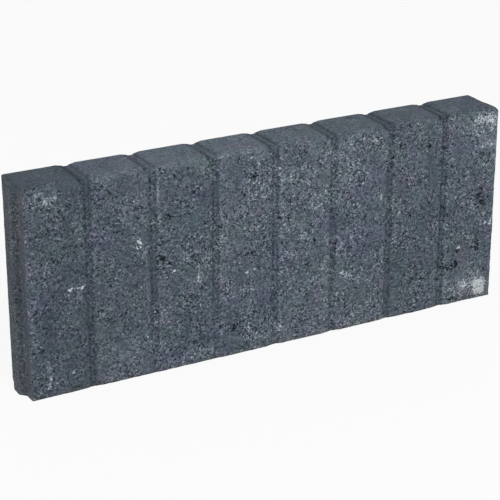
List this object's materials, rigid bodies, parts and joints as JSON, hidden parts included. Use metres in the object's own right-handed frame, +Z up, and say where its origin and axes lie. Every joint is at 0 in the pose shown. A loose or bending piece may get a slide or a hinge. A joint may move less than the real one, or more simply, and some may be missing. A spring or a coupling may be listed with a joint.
{
  "type": "concrete palisade edging",
  "caption": "Upright concrete edging block moulded as a row of eight posts with rounded heads, parted by shallow flutes, with a tongue on its left end and a matching groove in its right end.",
  "frame": {"origin": "centre of the bedding face, the flat underside that the block stands on", "axes": "+X along the row of posts, -Y to the front face, +Z up to the rounded heads"},
  "size_m": [0.5024, 0.05, 0.2],
  "materials": {
    "concrete": "dry-cast anthracite concrete, fine gritty texture, matte"
  },
  "bodies": {
    "root": {"palisade_block": "concrete"}
  },
  "joints": []
}
